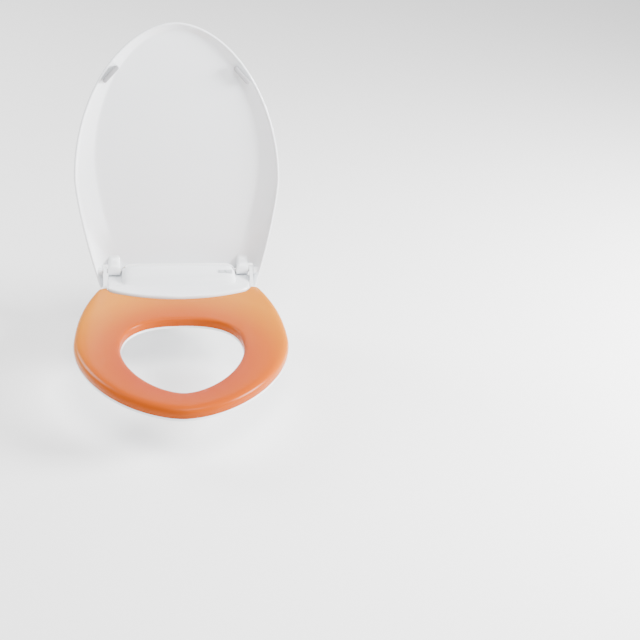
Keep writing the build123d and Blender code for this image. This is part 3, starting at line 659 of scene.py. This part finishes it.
# ---- Lid bumpers ----------------------------------------------------------
# Two long soft pads with rounded ends, pressed into the lid's band near the
# rim, so that the closed lid rests softly on the ring.
bumper_rubber = moulded_plastic(
    "bumper_rubber", (0.36, 0.36, 0.375), (0.33, 0.33, 0.345), 0.45, grain=2500, bump=0.10
)
pad_low, pad_high, pad_corner = (-0.0195, -0.004, -0.0031), (0.0195, 0.004, 0.0065), 0.0036
pad_x, pad_y, pad_turn = 0.119, -0.376, math.radians(47)
for side, name in ((-1, "left_lid_bumper"), (1, "right_lid_bumper")):
    pad = rounded_block(name, pad_low, pad_high, pad_corner, 6)
    edge_round = pad.modifiers.new("edge_round", "BEVEL")
    edge_round.width = 0.0012
    edge_round.segments = 3
    edge_round.limit_method = "ANGLE"
    bpy.ops.object.modifier_apply(modifier=edge_round.name)
    turn = Matrix.Rotation(side * pad_turn, 4, "Z")
    pad.data.transform(Matrix.Translation((side * pad_x, pad_y, rim_height)) @ turn)
    swing_open(pad)
    smooth(pad)
    pad.data.materials.append(bumper_rubber)
    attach(pad, "lid")
    if side < 0:
        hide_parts("lid_bumpers")

# ---- Carried-over pieces --------------------------------------------------
# The bottom shells, the mounting hardware, the nozzle and the inner parts keep
# their own shapes and get the finish of what they are made of.
satin_white = moulded_plastic("satin_white", (0.78, 0.80, 0.82), (0.72, 0.74, 0.76), 0.32)
natural_nylon = moulded_plastic("natural_nylon", (0.74, 0.72, 0.64), (0.68, 0.65, 0.57), 0.42)
black_abs = moulded_plastic("black_abs", (0.02, 0.02, 0.022), (0.035, 0.035, 0.037), 0.40)
black_rubber = moulded_plastic(
    "black_rubber", (0.018, 0.018, 0.018), (0.03, 0.03, 0.03), 0.6, bump=0.12
)
board_lacquer = moulded_plastic("board_lacquer", (0.01, 0.09, 0.035), (0.015, 0.12, 0.05), 0.25)
silicone_red = moulded_plastic("silicone_red", (0.42, 0.03, 0.02), (0.5, 0.05, 0.03), 0.45)
key_plastic = moulded_plastic("key_plastic", (0.60, 0.62, 0.65), (0.56, 0.58, 0.61), 0.30)
lamp_lens = moulded_plastic("lamp_lens", (0.20, 0.62, 0.28), (0.25, 0.66, 0.33), 0.12, coat=0.6)
soft_tube = moulded_plastic("soft_tube", (0.60, 0.66, 0.70), (0.56, 0.62, 0.66), 0.30)


def turned_metal(name, colour, roughness, streak):
    """Metal with fine tool streaks in its roughness and relief."""
    material, nodes, links, shader = new_material(name)
    shader.inputs["Base Color"].default_value = (*colour, 1)
    shader.inputs["Metallic"].default_value = 1
    place = nodes.new("ShaderNodeTexCoord")
    stretch = nodes.new("ShaderNodeMapping")
    stretch.inputs["Scale"].default_value = (1, 1, streak)
    noise = nodes.new("ShaderNodeTexNoise")
    noise.inputs["Scale"].default_value = 220
    spread = nodes.new("ShaderNodeMapRange")
    spread.inputs["To Min"].default_value = roughness - 0.08
    spread.inputs["To Max"].default_value = roughness + 0.12
    relief = nodes.new("ShaderNodeBump")
    relief.inputs["Strength"].default_value = 0.06
    relief.inputs["Distance"].default_value = 0.0005
    links.new(place.outputs["Object"], stretch.inputs["Vector"])
    links.new(stretch.outputs["Vector"], noise.inputs["Vector"])
    links.new(noise.outputs["Fac"], spread.inputs["Value"])
    links.new(spread.outputs["Result"], shader.inputs["Roughness"])
    links.new(noise.outputs["Fac"], relief.inputs["Height"])
    links.new(relief.outputs["Normal"], shader.inputs["Normal"])
    return material


plain_steel = turned_metal("plain_steel", (0.56, 0.56, 0.57), 0.30, 12)
bright_brass = turned_metal("bright_brass", (0.62, 0.45, 0.17), 0.28, 10)
wound_copper = turned_metal("wound_copper", (0.62, 0.26, 0.12), 0.36, 30)
heater_foil = turned_metal("heater_foil", (0.72, 0.72, 0.74), 0.34, 1)
finish_of_slot = {
    "shell_white": white_gloss,
    "seat_orange": warm_orange,
    "tray_white": satin_white,
    "bumper_grey": bumper_rubber,
    "steel": plain_steel,
    "black_plastic": black_abs,
    "nylon": natural_nylon,
    "foil": heater_foil,
    "red_wire": silicone_red,
    "board_green": board_lacquer,
    "copper": wound_copper,
    "key_grey": key_plastic,
    "lamp_green": lamp_lens,
    "rubber_black": black_rubber,
    "brass": bright_brass,
    "tube_clear": soft_tube,
}
for part in frame["record"]["subparts"]:
    node = frame["nodes"][part["node"]]
    for place in node.material_slots:
        place.material = finish_of_slot[part["material_slot"]]
